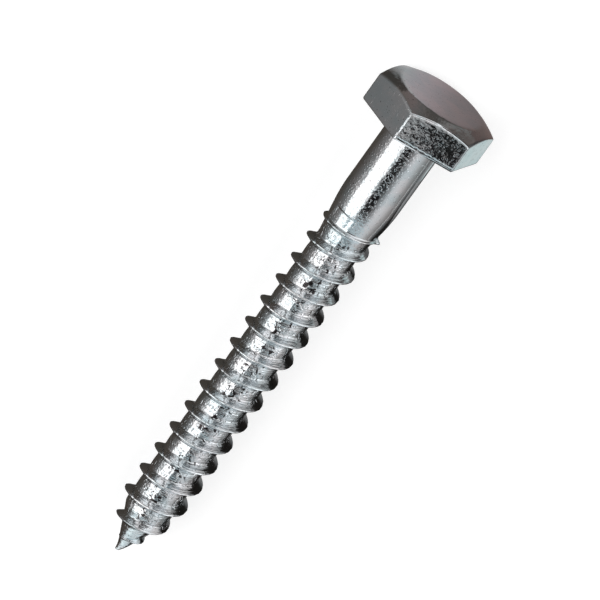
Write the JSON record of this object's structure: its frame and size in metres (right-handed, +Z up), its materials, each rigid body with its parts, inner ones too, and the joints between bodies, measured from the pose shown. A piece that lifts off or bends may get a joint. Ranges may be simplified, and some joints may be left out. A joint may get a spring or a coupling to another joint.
{
  "type": "lag screw",
  "caption": "Hex head lag screw with a short plain shank, a coarse right-hand wood thread and a gimlet point, lying at rest.",
  "frame": {"origin": "centre of the head's bearing face, on the screw's axis", "axes": "+X towards the point, level with the floor; +Z up from the floor; the screw's axis lies in the XZ plane and dips 2.9 degrees below +X towards the point, because the screw lies on one flat of its head and on its last full thread crest"},
  "size_m": [0.0541, 0.0122, 0.0108],
  "materials": {
    "zinc_plated_steel": "bright zinc plating, glossy on the shank, with rolling marks, scuffs and small dark pits"
  },
  "bodies": {
    "root": {"lag_screw": "zinc_plated_steel"}
  },
  "joints": []
}
